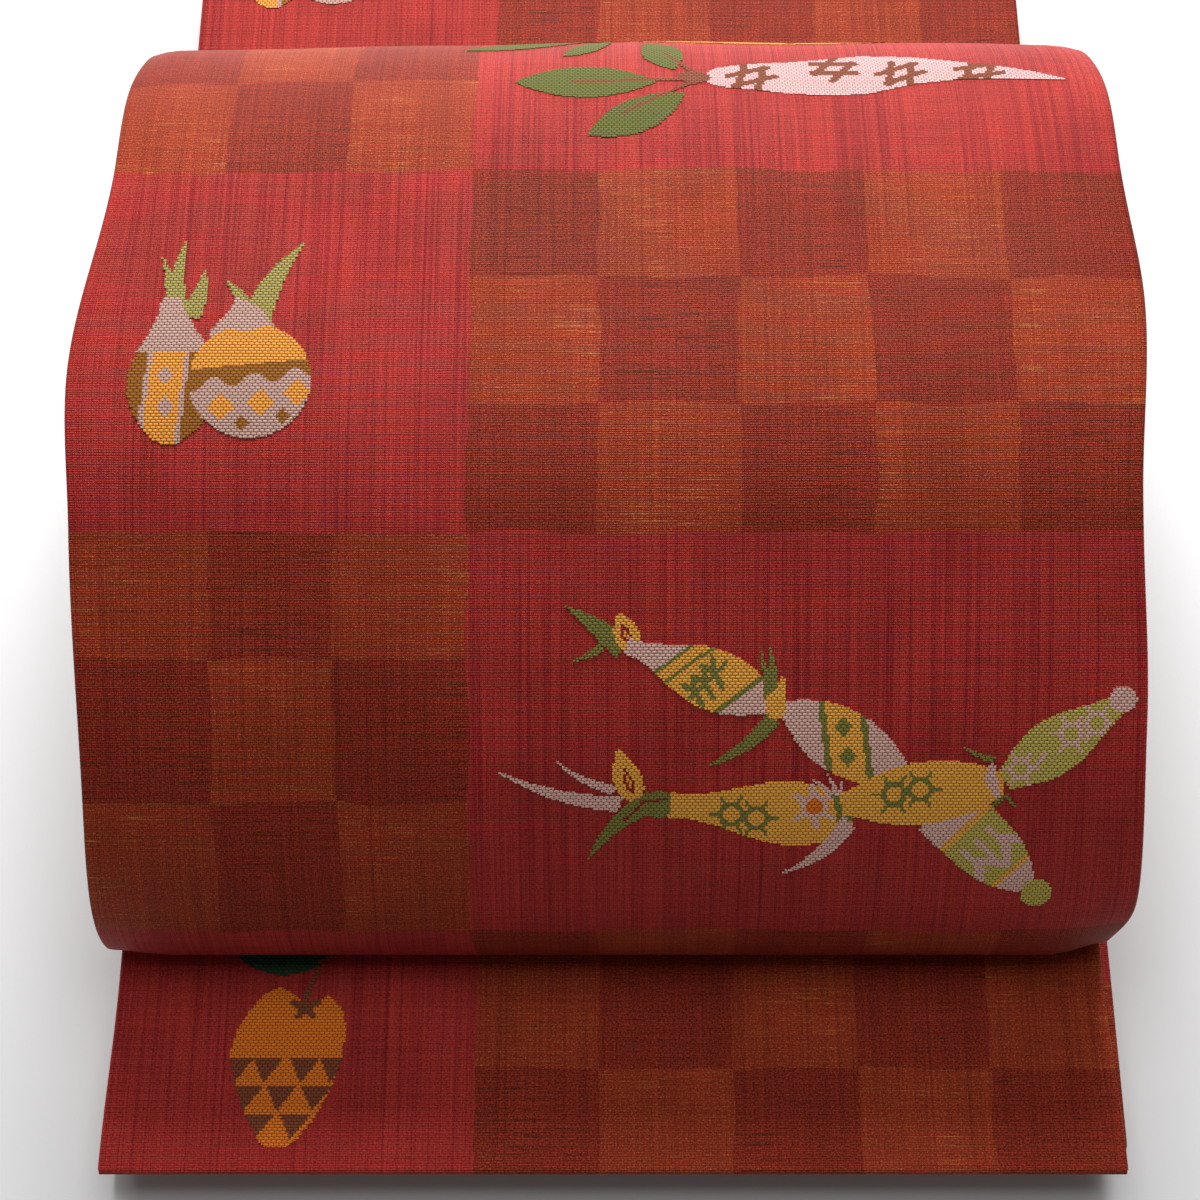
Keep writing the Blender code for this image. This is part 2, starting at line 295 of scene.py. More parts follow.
def hem_section(start, way):
    """A turned end in section, as (place along, depth), from the top round the end and back underneath."""
    rows = []
    for radius in (EDGE_RADIUS, EDGE_RADIUS - FACE_T):
        bend = [math.radians(a) for a in range(90, -91, -30)]
        row = [(start + way * (EDGE_RADIUS - radius * math.cos(a)), radius * math.sin(a)) for a in bend]
        row.append((start + way * (HEM_DEPTH - 0.0002), -radius + 0.0001))
        rows.append(row)
    return np.array(rows[0] + rows[1][::-1])


def node_group(name, vectors, numbers, outputs):
    """An empty shader group with those named sockets: its tree, what comes into it and what goes out."""
    group = bpy.data.node_groups.new(name, "ShaderNodeTree")
    for label in vectors:
        group.interface.new_socket(label, in_out="INPUT", socket_type="NodeSocketVector")
    for label in numbers:
        group.interface.new_socket(label, in_out="INPUT", socket_type="NodeSocketFloat")
    for label in outputs:
        group.interface.new_socket(label, in_out="OUTPUT", socket_type="NodeSocketFloat")
    return group, group.nodes.new("NodeGroupInput").outputs, group.nodes.new("NodeGroupOutput").inputs


def feed(tree, socket, value):
    """Links an output into a socket, or sets the socket's own value."""
    if isinstance(value, bpy.types.NodeSocket):
        tree.links.new(value, socket)
    else:
        socket.default_value = value


def maths(tree, operation, *values):
    """What a Math node makes of links or numbers."""
    node = tree.nodes.new("ShaderNodeMath")
    node.operation = operation
    for socket, value in zip(node.inputs, values):
        feed(tree, socket, value)
    return node.outputs[0]


def scaled(tree, vector, factor):
    """A vector or colour times a number, which may be a link, or times three numbers."""
    node = tree.nodes.new("ShaderNodeVectorMath")
    node.operation = "MULTIPLY" if isinstance(factor, tuple) else "SCALE"
    feed(tree, node.inputs[0], vector)
    feed(tree, node.inputs[1 if isinstance(factor, tuple) else "Scale"], factor)
    return node.outputs[0]


def axes(tree, vector):
    """The three numbers of a vector."""
    node = tree.nodes.new("ShaderNodeSeparateXYZ")
    tree.links.new(vector, node.inputs[0])
    return node.outputs


def noise(tree, vector, factors, detail=2.0, roughness=0.5):
    """A noise with that many swells a millimetre across the cloth and along it: its value and its colour."""
    node = tree.nodes.new("ShaderNodeTexNoise")
    for label, number in (("Scale", 1.0), ("Detail", detail), ("Roughness", roughness)):
        node.inputs[label].default_value = number
    feed(tree, node.inputs["Vector"], scaled(tree, vector, factors))
    return node.outputs


def stretched(tree, value, low, high, to_low=0.0, to_high=1.0):
    """A value brought from one range to another, and held inside it."""
    node = tree.nodes.new("ShaderNodeMapRange")
    for label, number in (("From Min", low), ("From Max", high), ("To Min", to_low), ("To Max", to_high)):
        node.inputs[label].default_value = number
    feed(tree, node.inputs["Value"], value)
    return node.outputs["Result"]


def blended(tree, share, first, second, kind="MIX"):
    """A colour between two others; each may be a link or three numbers."""
    node = tree.nodes.new("ShaderNodeMix")
    node.data_type = "RGBA"
    node.blend_type = kind
    feed(tree, node.inputs["Factor"], share)
    for socket, colour in ((node.inputs[6], first), (node.inputs[7], second)):
        feed(tree, socket, colour if isinstance(colour, bpy.types.NodeSocket) else (*colour, 1))
    return node.outputs[2]


def wave_of(tree, value, pitch):
    """0 to 1 and back once each pitch."""
    turns = maths(tree, "MULTIPLY", value, 2 * math.pi / pitch)
    return maths(tree, "MULTIPLY_ADD", maths(tree, "SINE", turns), 0.5, 0.5)


def material_of(name, roughness, specular):
    """A new material, with its tree, its Principled shader and the flat cloth's place in millimetres."""
    material = bpy.data.materials.new(name)
    material.use_nodes = True
    tree = material.node_tree
    shader = tree.nodes["Principled BSDF"].inputs
    shader["Roughness"].default_value = roughness
    shader["Specular IOR Level"].default_value = specular
    return material, tree, shader, known_place(tree, "flat")


def known_place(tree, attribute):
    """One of the two places that finished_object gives to each point."""
    where = tree.nodes.new("ShaderNodeAttribute")
    where.attribute_name = attribute
    return where.outputs["Vector"]


def bumped(tree, shader, height, distance):
    """Raises the surface where height is 1, by that distance in metres."""
    node = tree.nodes.new("ShaderNodeBump")
    node.inputs["Strength"].default_value = 1.0
    node.inputs["Distance"].default_value = distance
    feed(tree, node.inputs["Height"], height)
    tree.links.new(node.outputs["Normal"], shader["Normal"])


def placed_group(tree, group, **values):
    """The outputs of a shader group, fed with those values."""
    node = tree.nodes.new("ShaderNodeGroup")
    node.node_tree = group
    for label, value in values.items():
        feed(tree, node.inputs[label.replace("_", " ")], value)
    return node.outputs


# Silk threads: weft ribs across, finer warp threads along, streaks where warp threads took more dye, and short
# slubs where the weft is thicker. Used by the face cloth, the interlining and the lining.
SHADES = ["Height", "Tone", "Streak", "Slub", "Grain", "Cloud"]
silk_weave, given, made = node_group("silk_weave", ["Flat"], ["Rib Pitch", "Warp Pitch"], SHADES)
tree, flat = silk_weave, given["Flat"]
across, along_cloth, _ = axes(tree, flat)
sway = noise(tree, flat, (0.06, 0.6, 0), 1)[0]
rib_place = maths(tree, "ADD", along_cloth, maths(tree, "MULTIPLY", sway, 0.5))
rib = wave_of(tree, maths(tree, "DIVIDE", rib_place, given["Rib Pitch"]), 1.0)
warp = wave_of(tree, maths(tree, "DIVIDE", across, given["Warp Pitch"]), 1.0)
grain = noise(tree, flat, (1.7, 1.7, 0), 2, 0.7)[0]
warp_shade = noise(tree, flat, (1.35, 0.013, 5.0), 2, 0.7)[0]
weft_shade = noise(tree, flat, (0.024, 1.5, 9.0), 2, 0.7)[0]
crossing = maths(tree, "MULTIPLY", rib, warp)
height = maths(tree, "MULTIPLY_ADD", crossing, 0.8, maths(tree, "MULTIPLY", rib, 0.25))
tree.links.new(maths(tree, "MULTIPLY_ADD", grain, 1.1, height), made["Height"])
tone = maths(tree, "MULTIPLY_ADD", crossing, 0.42, -1.26)
for shade, weight in ((warp_shade, 0.95), (weft_shade, 0.70), (grain, 2.6)):
    tone = maths(tree, "MULTIPLY_ADD", shade, weight, tone)
tree.links.new(tone, made["Tone"])
tree.links.new(noise(tree, flat, (0.95, 0.006, 0), 4, 0.6)[0], made["Streak"])
tree.links.new(noise(tree, flat, (0.055, 1.7, 3.0), 3, 0.6)[0], made["Slub"])
tree.links.new(grain, made["Grain"])
tree.links.new(noise(tree, flat, (0.035, 0.03, 0), 2)[0], made["Cloud"])

# The hand-drawn checks: blocks of rows, checked in turn on the columns at the left and on those at the right.
BLOCK_ROWS = 3
LEFT_COLUMNS = 3
drawn_checks, given, made = node_group("drawn_checks", ["Flat", "Checks"], [], ["Checked", "Dark"])
tree = drawn_checks
shakes = tree.nodes.new("ShaderNodeSeparateColor")
tree.links.new(noise(tree, given["Flat"], (0.045, 0.045, 0), 2)["Color"], shakes.inputs[0])
ragged = noise(tree, given["Flat"], (0.9, 0.9, 0), 2, 0.7)[0]
cell = []
for axis, exact in enumerate(axes(tree, given["Checks"])[:2]):
    offset = maths(tree, "MULTIPLY_ADD", shakes.outputs[axis], 0.13, -0.077)
    offset = maths(tree, "MULTIPLY_ADD", ragged, 0.024, offset)
    cell.append(maths(tree, "FLOOR", maths(tree, "ADD", exact, offset)))
in_blocks = maths(tree, "FLOORED_MODULO", cell[1], 2.0 * BLOCK_ROWS)
block = maths(tree, "GREATER_THAN", in_blocks, BLOCK_ROWS - 0.5)
on_right = maths(tree, "GREATER_THAN", cell[0], LEFT_COLUMNS - 0.5)
tree.links.new(maths(tree, "COMPARE", block, on_right, 0.5), made["Checked"])
count = maths(tree, "ADD", maths(tree, "ADD", cell[0], cell[1]), block)
tree.links.new(maths(tree, "FLOORED_MODULO", count, 2.0), made["Dark"])

BROCADE, tree, shader, flat = material_of("brocade_silk", 0.50, 0.16)
weave = placed_group(tree, silk_weave, Flat=flat, Rib_Pitch=0.68, Warp_Pitch=0.60)
check = placed_group(tree, drawn_checks, Flat=flat, Checks=known_place(tree, "checks"))
streaks = stretched(tree, weave["Streak"], 0.46, 0.68)
red = blended(tree, streaks, (0.410, 0.032, 0.026), (0.265, 0.013, 0.017))
patches = stretched(tree, weave["Cloud"], 0.48, 0.60, 0.25, 1.0)
checks = []
for grain_range, ground, slub_range, slub_colour, streak_most, streak_colour in (
    ((0.58, 0.72, 0.0, 0.6), ((0.325, 0.038, 0.014), (0.52, 0.17, 0.038)),
     (0.57, 0.68, 0.0, 0.75), (0.52, 0.19, 0.045), 0.5, (0.22, 0.018, 0.010)),
    ((0.36, 0.64), ((0.205, 0.016, 0.009), (0.325, 0.036, 0.015)),
     (0.55, 0.64, 0.0, 0.85), (0.050, 0.016, 0.007), 0.45, (0.13, 0.010, 0.008)),
):
    colour = blended(tree, stretched(tree, weave["Grain"], *grain_range), *ground)
    thick = maths(tree, "MULTIPLY", stretched(tree, weave["Slub"], *slub_range), patches)
    colour = blended(tree, thick, colour, slub_colour)
    streaked = stretched(tree, weave["Streak"], 0.50, 0.70, 0.0, streak_most)
    checks.append(blended(tree, streaked, colour, streak_colour))
colour = blended(tree, check["Checked"], red, blended(tree, check["Dark"], *checks))
colour = scaled(tree, colour, weave["Tone"])
shade = blended(tree, stretched(tree, weave["Cloud"], 0.3, 0.7), (0.90, 0.88, 0.88), (1.09, 1.07, 1.07))
tree.links.new(blended(tree, 1.0, colour, shade, "MULTIPLY"), shader["Base Color"])
tree.links.new(stretched(tree, weave["Grain"], 0.3, 0.7, 0.42, 0.60), shader["Roughness"])
shader["Specular Tint"].default_value = (1.0, 0.62, 0.50, 1)
bumped(tree, shader, weave["Height"], 0.00014)

BODIES = {"tare": ("tare",), "drum": ("drum",), "strip": ("drum", "rest"), "rest": ("rest",)}


def follow(obj, part):
    """Joins a piece to the body that carries it; a piece of the tare or of the strip is only baked where it
    lies.
    """
    if part == "tare":
        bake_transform(obj)
    elif part == "strip":
        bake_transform(obj)
    else:
        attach(obj, {"drum": "drum", "rest": "folded_rest"}[part])


def layer(part, label, section, material, hems=(), cut=(0, 0)):
    """One layer of the sash in one of its four pieces, with so much cut off each end; it hides the parts that
    it replaces.
    """
    whole = STATIONS[part]
    first, last = whole[0] + cut[0], whole[-1] - cut[1]
    stations = np.concatenate(([first], whole[(whole > first) & (whole < last)], [last]))
    obj = cloth_object(f"{part}_{label}_folded", section, stations, hems, material)
    follow(obj, part)
    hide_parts(*(f"{body}_{label}" for body in BODIES[part]))


hem_side = HALF_WIDTH - EDGE_RADIUS / 2
hem_places = np.unique(np.concatenate((COLUMNS[1:-1], (-hem_side, hem_side))))[::-1]
END_S = LINE_S[-1]
END_CUT = EDGE_RADIUS + 0.00002
for part, hems, cut in (
    ("tare", [(hem_section(0.0, 1), hem_places)], (END_CUT, 0)), ("drum", [], (0, 0)), ("strip", [], (0, 0)),
    ("rest", [(hem_section(END_S, -1), hem_places)], (0, END_CUT)),
):
    layer(part, "face_cloth", face_section(), BROCADE, hems, cut)

# The woven figures: onions, crossed roots, a white and an orange root and a fruit, in dyed silk wefts that
# float over the face cloth in short steps, 0.2 mm proud of it. Each drawing takes places on the flat cloth in
# millimetres, x across it and s along it, and gives each place its dye's number, or 0.
STEP_ACROSS = 0.80
STEP_ALONG = 0.60
FIGURE_RISE = 0.00022
FIGURE_ROOT = 0.00012
# The crossed roots on the drum's front take brighter copies of the crown's gold, mauve and green: painted sheen
# for the light that their floats catch there. Their moss is a green of its own.
GOLD, MAUVE, GREEN, OLIVE, WHITE, BROWN, PINE, ORANGE, LEAF, PAINTED_SHEEN_GOLD, PAINTED_SHEEN_MAUVE, PAINTED_SHEEN_GREEN, MOSS = range(1, 14)


def measured(x, s, base, tip, bend=0.0):
    """The share of the way from base to tip, and how far left of it; bend leans its middle to the left."""
    length = math.dist(base, tip)
    way = ((tip[0] - base[0]) / length, (tip[1] - base[1]) / length)
    t = ((x - base[0]) * way[0] + (s - base[1]) * way[1]) / length
    return t, (s - base[1]) * way[0] - (x - base[0]) * way[1] - 4 * bend * t * (1 - t)


def leaf(x, s, base, tip, width, bend=0.0, fullest=0.5):
    """Inside a leaf that narrows to both ends, and is broadest at that share of its length."""
    t, aside = measured(x, s, base, tip, bend)
    power = math.log(0.5) / math.log(fullest)
    girth = width / 2 * np.sin(math.pi * np.clip(t, 0, 1) ** power) ** 0.8
    return (t > 0) & (t < 1) & (np.abs(aside) < girth)


def blade(x, s, base, tip, width, bend=0.0):
    """Inside a blade of grass: broad at its base and pointed at its tip."""
    t, aside = measured(x, s, base, tip, bend)
    return (t > 0) & (t < 1) & (np.abs(aside) < width / 2 * (1 - np.clip(t, 0, 1) ** 1.6))


def body(x, s, start, end, girths):
    """A root's body with those half widths: its inside, the share of its length and the place across it."""
    t, aside = measured(x, s, start, end)
    curve = np.polyfit(np.linspace(0, 1, len(girths)), girths, len(girths) - 1)
    inside = (t > 0) & (t < 1) & (np.abs(aside) < np.polyval(curve, np.clip(t, 0, 1)))
    return inside, t, aside


def oval(x, s, centre, half_x, half_s):
    return ((x - centre[0]) / half_x) ** 2 + ((s - centre[1]) / half_s) ** 2 < 1


def diamond(x, s, centre, half_x, half_s):
    return np.abs(x - centre[0]) / half_x + np.abs(s - centre[1]) / half_s < 1


def stroke(x, s, a, b, width):
    """Near the straight line from a to b."""
    length = math.dist(a, b)
    way = ((b[0] - a[0]) / length, (b[1] - a[1]) / length)
    t = np.clip((x - a[0]) * way[0] + (s - a[1]) * way[1], 0, length)
    return np.hypot(x - a[0] - t * way[0], s - a[1] - t * way[1]) < width / 2


def shells(x, s, centres, radius):
    """Hexagon rings side by side, with a short spur at each corner."""
    rings = np.zeros(x.shape, bool)
    holes = np.zeros(x.shape, bool)
    for centre in centres:
        dx, ds = x - centre[0], s - centre[1]
        sides = [np.abs(dx * math.cos(a) + ds * math.sin(a)) for a in np.radians((30, 90, 150))]
        holes |= np.hypot(dx, ds) < radius * 0.62
        rings |= np.maximum.reduce(sides) / radius < 1.0
        for angle in np.radians(range(0, 360, 60)):
            way = radius * np.array((math.cos(angle), math.sin(angle)))
            rings |= stroke(x, s, centre + 0.9 * way, centre + 1.65 * way, 0.95)
    return rings & ~holes


def paint(dye, x, s, colour, *shapes):
    """Gives one dye to the inside of each shape, written as its function and its measures."""
    for outline, *measures in shapes:
        dye[outline(x, s, *measures)] = colour


def onions(x, s):
    dye = np.zeros(x.shape, int)
    paint(dye, x, s, GREEN, (blade, (-128.2, 534), (-132.2, 548.6), 3.6, -0.8),
          (blade, (-126, 531), (-125.3, 553.6), 5.6, 1.2), (blade, (-122.3, 528), (-118.7, 544.4), 6, -0.6),
          (blade, (-106, 530), (-113, 540.4), 4.6, -0.8), (blade, (-103, 527), (-90.3, 553.6), 8.2, 1.8))
    # the tall one on the left, with a band down its middle
    first = oval(x, s, (-126.2, 507.5), 12.4, 17) & (s < 517.4)
    dye[first] = OLIVE
    band = first | (oval(x, s, (-126.6, 507), 11, 17.4) & (s < 517.4))
    off_band = np.abs(x + 127.6 - 0.08 * (s - 517))
    dye[band & (off_band < 6.1)] = MAUVE
    dye[band & (off_band < 4.7)] = GOLD
    paint(dye, x, s, MAUVE, (diamond, (-128.4, 510.2), 2.4, 3), (diamond, (-128, 500.6), 2.4, 3.4))
    shoulder = 4.0 + 8.2 * np.clip((534.8 - s) / 17.6, 0, 1) ** 1.55
    lean = -128.2 + 0.13 * (534.8 - s)
    dye[(s >= 517.2) & (s < 534.8) & (np.abs(x - lean) < shoulder - 1.2)] = MAUVE
    # the round one
    neck = 3.0 + 6.8 * np.clip((535 - s) / 11, 0, 1) ** 1.5
    dye[(s >= 521) & (s < 535.2 - 0.5 * np.abs(x + 110)) & (np.abs(x + 106.3) < neck)] = MAUVE
    round_one = np.hypot(x + 104, (s - 508.8) * 1.02) < 17.6
    dye[round_one] = MAUVE
    waist = 511.8 + 0.1 * (x + 121)
    dip = 526.0 - 2.4 * np.exp(-(((x + 106.5) / 5) ** 2))
    dye[round_one & (s > waist) & (s < dip)] = GOLD
    scallop = 506.8 + 0.13 * (x + 121) + 1.7 * np.cos((x + 114.5) * 2 * math.pi / 11.6)
    dye[round_one & (s <= waist) & (s > scallop)] = OLIVE
    for centre in ((-112.1, 500.6), (-100.7, 502), (-90.4, 505)):
        dye[round_one & diamond(x, s, centre, 4, 4.2)] = GOLD
    for centre in ((-105.9, 495.9), (-94.3, 498)):
        dye[round_one & diamond(x, s, centre, 2.3, 2.3)] = OLIVE
    return dye


def upper_root(dye, x, s):
    """The upper of the crossed roots, in two lengths."""
    paint(dye, x, s, MOSS, (blade, (3, 431.4), (-14, 444), 6.6, -0.8),
          (blade, (-3, 432.4), (-11.8, 428), 2.6, 0.7))
    paint(dye, x, s, PAINTED_SHEEN_GOLD, (leaf, (5, 430.6), (1.6, 441.8), 7.4, -0.6, 0.42))
    vein = leaf(x, s, (4.8, 433), (2.6, 438.8), 2.6, 0, 0.45)
    dye[vein & ~leaf(x, s, (4.6, 434), (3, 437.6), 1.1)] = 0
    inside, t, aside = body(x, s, (4, 432.6), (46.8, 415.6), (2.6, 4, 7.4, 8.8, 7, 2.6))
    slanted = t - 0.014 * aside
    dye[inside] = PAINTED_SHEEN_MAUVE
    dye[inside & (slanted > 0.27) & (slanted < 0.79)] = PAINTED_SHEEN_GOLD
    for low_band, high_band in ((0.27, 0.30), (0.375, 0.40), (0.765, 0.80)):
        dye[inside & (slanted > low_band) & (slanted < high_band)] = MOSS
    sprig = stroke(x, s, (22.4, 417.6), (32.4, 427.4), 1.5)
    for share in (0.15, 0.42, 0.70):
        stem = (22.4 + share * 10, 417.6 + share * 9.8)
        for out_x, out_s, width in ((-4.6, 2.6, 1.9), (2.6, -5, 1.9), (-1, 5.6, 1.7)):
            sprig |= leaf(x, s, stem, (stem[0] + out_x, stem[1] + out_s), width)
    dye[inside & sprig & (slanted > 0.41) & (slanted < 0.75)] = MOSS
    inside, t, aside = body(x, s, (48.6, 415.2), (83, 394.6), (1.6, 6.4, 9, 9.2, 7.6, 3.6))
    upright = x - 0.13 * (410 - s)
    dye[inside] = PAINTED_SHEEN_MAUVE
    dye[inside & (upright > 60) & (upright < 72.6)] = PAINTED_SHEEN_GOLD
    for middle in (60.6, 72.2):
        dye[inside & (np.abs(upright - middle) < 0.95)] = MOSS
    paint(dye, x, s, MOSS, (diamond, (66.3, 409), 2.7, 3.1), (diamond, (67.6, 400.3), 2.7, 3.1),
          (blade, (45.4, 417), (45, 432.6), 4.2, -0.5), (blade, (44.8, 418), (42.8, 430.9), 2.2, 0.2),
          (blade, (46.4, 412), (27, 397.6), 4.8, 1.7))
    paint(dye, x, s, PAINTED_SHEEN_GOLD, (oval, (46.8, 415.4), 3.1, 4.2), (blade, (47.6, 416), (48.9, 424.2), 4.2))


def lower_root(dye, x, s):
    """The first length of the lower of the crossed roots, with its leaves and its star."""
    paint(dye, x, s, PAINTED_SHEEN_MAUVE, (blade, (2.4, 386.4), (-33.8, 396.4), 4.6, 2.3),
          (blade, (0.6, 390.6), (-16.4, 399.4), 2.8, 1.4))
    paint(dye, x, s, PAINTED_SHEEN_GOLD, (leaf, (7.4, 386.8), (1.6, 402.6), 8.2, 0.4, 0.40))
    vein = leaf(x, s, (6.2, 389.2), (2.9, 397.8), 2.6, 0, 0.4)
    dye[vein & ~leaf(x, s, (5.6, 391), (3.6, 396), 1)] = 0
    paint(dye, x, s, MOSS, (blade, (12.6, 387.6), (-7.4, 368), 6.4, -2.6), (oval, (13.6, 386.3), 4.8, 4.1))
    paint(dye, x, s, 0, (stroke, (8.6, 387), (15.6, 387.9), 0.75), (stroke, (3, 381), (8.6, 386.2), 0.7))
    inside = body(x, s, (16.6, 386), (69.4, 382.2), (4, 4.4, 7.2, 9.4, 8.8, 3.6))[0]
    dye[inside] = PAINTED_SHEEN_GOLD
    dye[inside & shells(x, s, ((34.3, 383.4), (41.6, 382.2)), 3.7)] = MOSS
    star = (58.4, 385.6)
    for angle in np.radians((35, 95, 150, 215, 275, 325)):
        spur = (star[0] + 6.4 * math.cos(angle), star[1] + 6.4 * math.sin(angle))
        dye[inside & stroke(x, s, star, spur, 1.7)] = PAINTED_SHEEN_MAUVE
    dye[inside & oval(x, s, star, 3.7, 3.7)] = PAINTED_SHEEN_MAUVE
    dye[inside & oval(x, s, star, 2.5, 2.5)] = ORANGE
    paint(dye, x, s, PAINTED_SHEEN_MAUVE, (blade, (64.4, 388), (56, 394.2), 1.9, -0.6),
          (blade, (64.4, 388), (61.6, 396), 1.8, -0.5), (blade, (64.4, 388), (66.2, 394), 1.5, -0.6))
    paint(dye, x, s, MOSS, (leaf, (63.4, 389.4), (66.2, 376.6), 4.8, 2.4))
    paint(dye, x, s, PAINTED_SHEEN_MAUVE, (blade, (68.6, 381), (48.6, 364.4), 5.2, 2.2))


def small_roots(dye, x, s):
    """The two small roots at its end, and the length of the lower root between them."""
    inside, t, aside = body(x, s, (95.6, 385.4), (121.2, 360.6), (9.6, 9.8, 9.6, 9.2, 7.2, 3.4))
    dye[inside] = PAINTED_SHEEN_MAUVE
    dye[inside & (t > 0.24) & (t < 0.80)] = PAINTED_SHEEN_GREEN
    for low_band, high_band in ((0.235, 0.29), (0.79, 0.83)):
        dye[inside & (t > low_band) & (t < high_band)] = PAINTED_SHEEN_GOLD
    zigzag = 0.55 + 0.18 * np.abs(((aside + 20) / 5.2) % 2 - 1)
    dye[inside & (np.abs(t - zigzag) < 0.055) & (t < 0.78)] = PAINTED_SHEEN_MAUVE
    for middle in (-5.4, -0.4, 4.6):
        dye[inside & (np.abs(aside - middle) < 0.8) & (t > 0.38) & (t < 0.66)] = PAINTED_SHEEN_MAUVE
    paint(dye, x, s, PAINTED_SHEEN_GREEN, (oval, (124.3, 358), 4.7, 4.7))
    inside = body(x, s, (113, 393.4), (144.6, 415.4), (3.4, 6.4, 8.2, 7.4, 5, 3))[0]
    dye[inside] = PAINTED_SHEEN_GREEN
    rings = shells(x, s, ((131.6, 407), (138.8, 410)), 3.5) | shells(x, s, ((117.4, 396.8),), 3.2)
    dye[inside & (rings | stroke(x, s, (121.6, 397.6), (124.4, 401.2), 1.2))] = PAINTED_SHEEN_MAUVE
    paint(dye, x, s, PAINTED_SHEEN_MAUVE, (oval, (146.2, 417), 3.9, 3.9))
    inside = body(x, s, (66, 386.2), (112.6, 392.4), (3.2, 6.6, 9, 9, 7.4, 3))[0]
    dye[inside] = PAINTED_SHEEN_GOLD
    dye[inside & shells(x, s, ((81.3, 389.2), (88.8, 390.6)), 3.7)] = MOSS
    paint(dye, x, s, PAINTED_SHEEN_MAUVE, (leaf, (109.6, 399.8), (112.6, 387.4), 3.4, -1.9))
    paint(dye, x, s, MOSS, (blade, (109.9, 399.4), (99.4, 404), 1.9, 0.7),
          (blade, (112.6, 388.4), (108.8, 383.6), 1.5, -0.3), (blade, (113.4, 389.2), (117, 384.6), 1.3))


def crossed_roots(x, s):
    dye = np.zeros(x.shape, int)
    upper_root(dye, x, s)
    lower_root(dye, x, s)
    small_roots(dye, x, s)
    return dye


def frame_mark(x, s, centre, lean):
    """Two pairs of crossed strokes."""
    made = np.zeros(x.shape, bool)
    for angle, apart, reach in ((66 + lean, 3.1, 6), (10 + lean, 2.7, 6.8)):
        way = (math.cos(math.radians(angle)), math.sin(math.radians(angle)))
        for side in (-1, 1):
            middle = (centre[0] - way[1] * apart * side, centre[1] + way[0] * apart * side)
            a = (middle[0] - way[0] * reach, middle[1] - way[1] * reach)
            b = (middle[0] + way[0] * reach, middle[1] + way[1] * reach)
            made |= stroke(x, s, a, b, 2.3)
    return made


def white_root(x, s):
    dye = np.zeros(x.shape, int)
    top = np.interp(x, (29.5, 33, 42, 56, 78, 93, 109, 124, 132, 141),
                    (619, 622, 624.4, 626.2, 630.6, 629.4, 625.4, 622, 619.6, 616.2))
    bottom = np.interp(x, (29.5, 33, 41, 55, 69, 79, 93, 108, 123, 141),
                       (614, 612, 611, 609, 608.2, 609.2, 613.4, 615.6, 615.7, 615.8))
    root = (x > 29.5) & (x < 141) & (s < top) & (s > bottom)
    dye[root] = WHITE
    for centre, lean in (((43.3, 617.4), 12), ((69.3, 622.4), -10), ((89.8, 619.4), 16), ((114.4, 620), 4)):
        dye[root & frame_mark(x, s, centre, lean)] = BROWN
    paint(dye, x, s, LEAF, (leaf, (13.6, 614.4), (-29.6, 614.8), 15.8, -0.6),
          (leaf, (22.4, 608.6), (-7, 591.4), 13.6, 0.6), (leaf, (19.6, 621), (11.6, 642), 12.8, -0.4))
    paint(dye, x, s, BROWN, (stroke, (27.4, 616), (-12, 614.9), 1.1), (stroke, (26.6, 615.4), (4, 600.4), 1.1),
          (stroke, (26.6, 617.4), (16.4, 632), 1.2), (leaf, (20.5, 617), (31, 616.4), 6.6))
    return dye


def orange_root(x, s):
    dye = np.zeros(x.shape, int)
    inside = body(x, s, (104, 660), (6, 655), (0.8, 6.6, 9.8, 9.6, 7.6, 2))[0]
    dye[inside] = GOLD
    for centre, lean in (((84, 659.2), 8), ((58, 656), -12), ((32, 657.4), 10)):
        dye[inside & frame_mark(x, s, centre, lean)] = BROWN
    paint(dye, x, s, LEAF, (leaf, (0, 650), (-15, 634), 8, 0.6),
          (leaf, (-4, 655), (-46, 640), 8.6, 1), (leaf, (0, 660), (-30, 672), 11, -0.8))
    paint(dye, x, s, BROWN, (stroke, (6, 655.4), (-20, 650), 1.1), (stroke, (6, 656), (-18, 667), 1.1))
    return dye


def fruit(x, s):
    dye = np.zeros(x.shape, int)
    left = np.interp(s, (7.6, 9.5, 18, 27, 35.5, 43, 49, 53.5, 55.8),
                     (-103.5, -106.2, -111.2, -114.6, -116.7, -114.6, -111, -107.2, -102.8))
    right = np.interp(s, (7.6, 10, 16, 25, 33, 43, 48, 51, 53.2),
                      (-98.5, -95, -90, -85.2, -82.6, -81.3, -82.4, -84.2, -87.4))
    crest = np.interp(x, (-117, -105, -102, -98.5, -95, -90.5, -87, -81),
                      (50, 55.6, 55.9, 53.8, 51.4, 51.8, 53.4, 47.6))
    round_fruit = (x > left) & (x < right) & (s < crest) & (s > 7.6)
    dye[round_fruit] = ORANGE
    for top, depth, centres in (
        (34.3, 7.6, (-113.6, -104.6, -93.4, -84.4)), (25.8, 7.5, (-110.4, -100.2, -89.6)),
        (17.2, 7.2, (-106.6, -95.6)),
    ):
        fall = (top - s) / depth
        for centre in centres:
            spike = np.abs(x - centre + 1.2 * fall) < 4.7 * (1 - fall)
            dye[round_fruit & (fall > 0) & (fall < 1) & spike] = BROWN
    angle = np.arctan2(s - 49.9, x + 94.2)
    points = 3.7 + 1.5 * np.cos(5 * (angle - math.radians(92)))
    dye[np.hypot(x + 94.2, (s - 49.9) * 1.15) < points] = BROWN
    top = (-92.4, 57.6)
    paint(dye, x, s, BROWN, (stroke, (-94, 52), top, 1.5), (stroke, top, (-90.2, 63.6), 1.3))
    paint(dye, x, s, PINE, (leaf, (-87.6, 64.8), (-115.8, 65), 9.4, 0.6))
    paint(dye, x, s, BROWN, (stroke, (-90.2, 63.6), (-84, 66.4), 1.3))
    return dye


